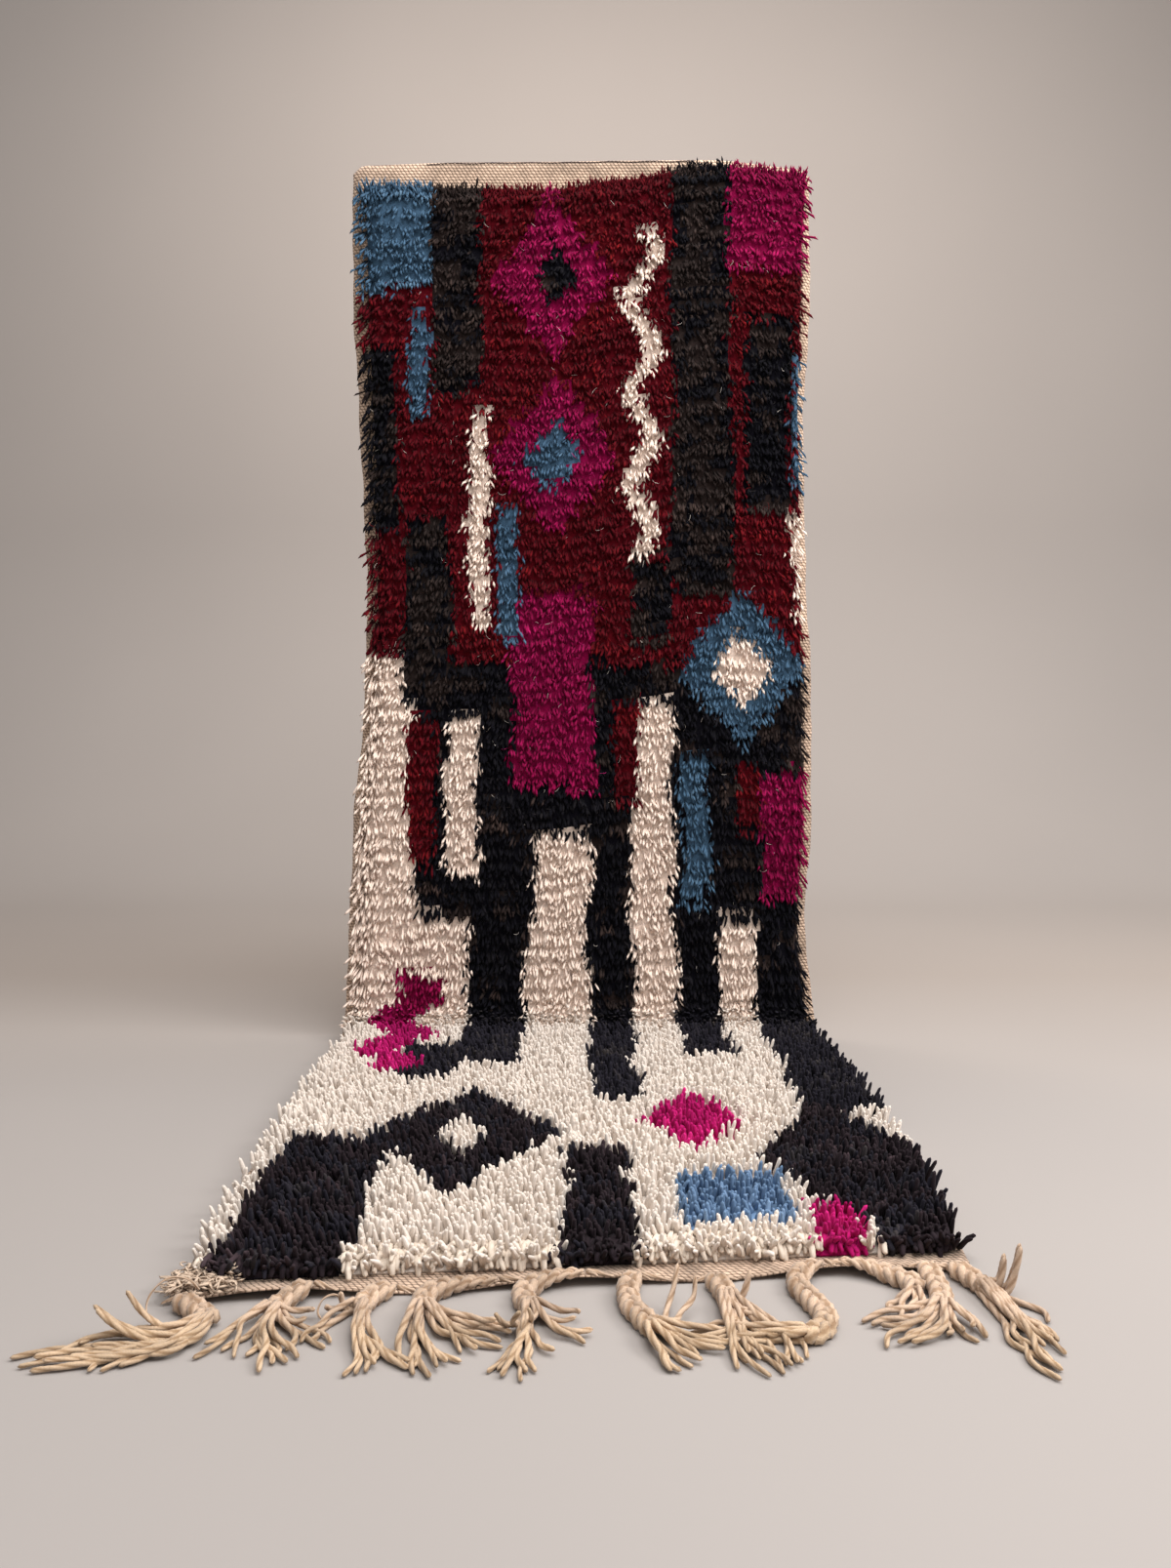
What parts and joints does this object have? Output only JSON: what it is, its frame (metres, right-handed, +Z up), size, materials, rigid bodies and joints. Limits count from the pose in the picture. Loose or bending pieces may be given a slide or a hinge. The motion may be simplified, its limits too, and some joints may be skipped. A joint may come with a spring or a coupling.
{
  "type": "berber runner rug",
  "caption": "Long shaggy wool runner that hangs straight, bends at its foot and lies forward on the floor, with plaited fringe tassels along its front edge.",
  "frame": {"origin": "on the floor, at the middle of the underside of the laid part", "axes": "+Z up, along the hanging part; X across the rug; the laid part runs towards -Y, the way the hanging part's pile faces"},
  "size_m": [0.9617, 1.0596, 1.532],
  "materials": {
    "weave": "plain woven undyed wool",
    "pile_wool": "shaggy twisted wool locks in several yarn colours",
    "fringe_wool": "plaited and loose undyed wool warp ends"
  },
  "bodies": {
    "root": {"foundation": "weave", "pile": "pile_wool", "tassel_01": "fringe_wool", "tassel_02": "fringe_wool", "tassel_03": "fringe_wool", "tassel_04": "fringe_wool", "tassel_05": "fringe_wool", "tassel_06": "fringe_wool", "tassel_07": "fringe_wool", "tassel_08": "fringe_wool", "tassel_09": "fringe_wool", "tassel_10": "fringe_wool", "tassel_11": "fringe_wool"}
  },
  "joints": []
}
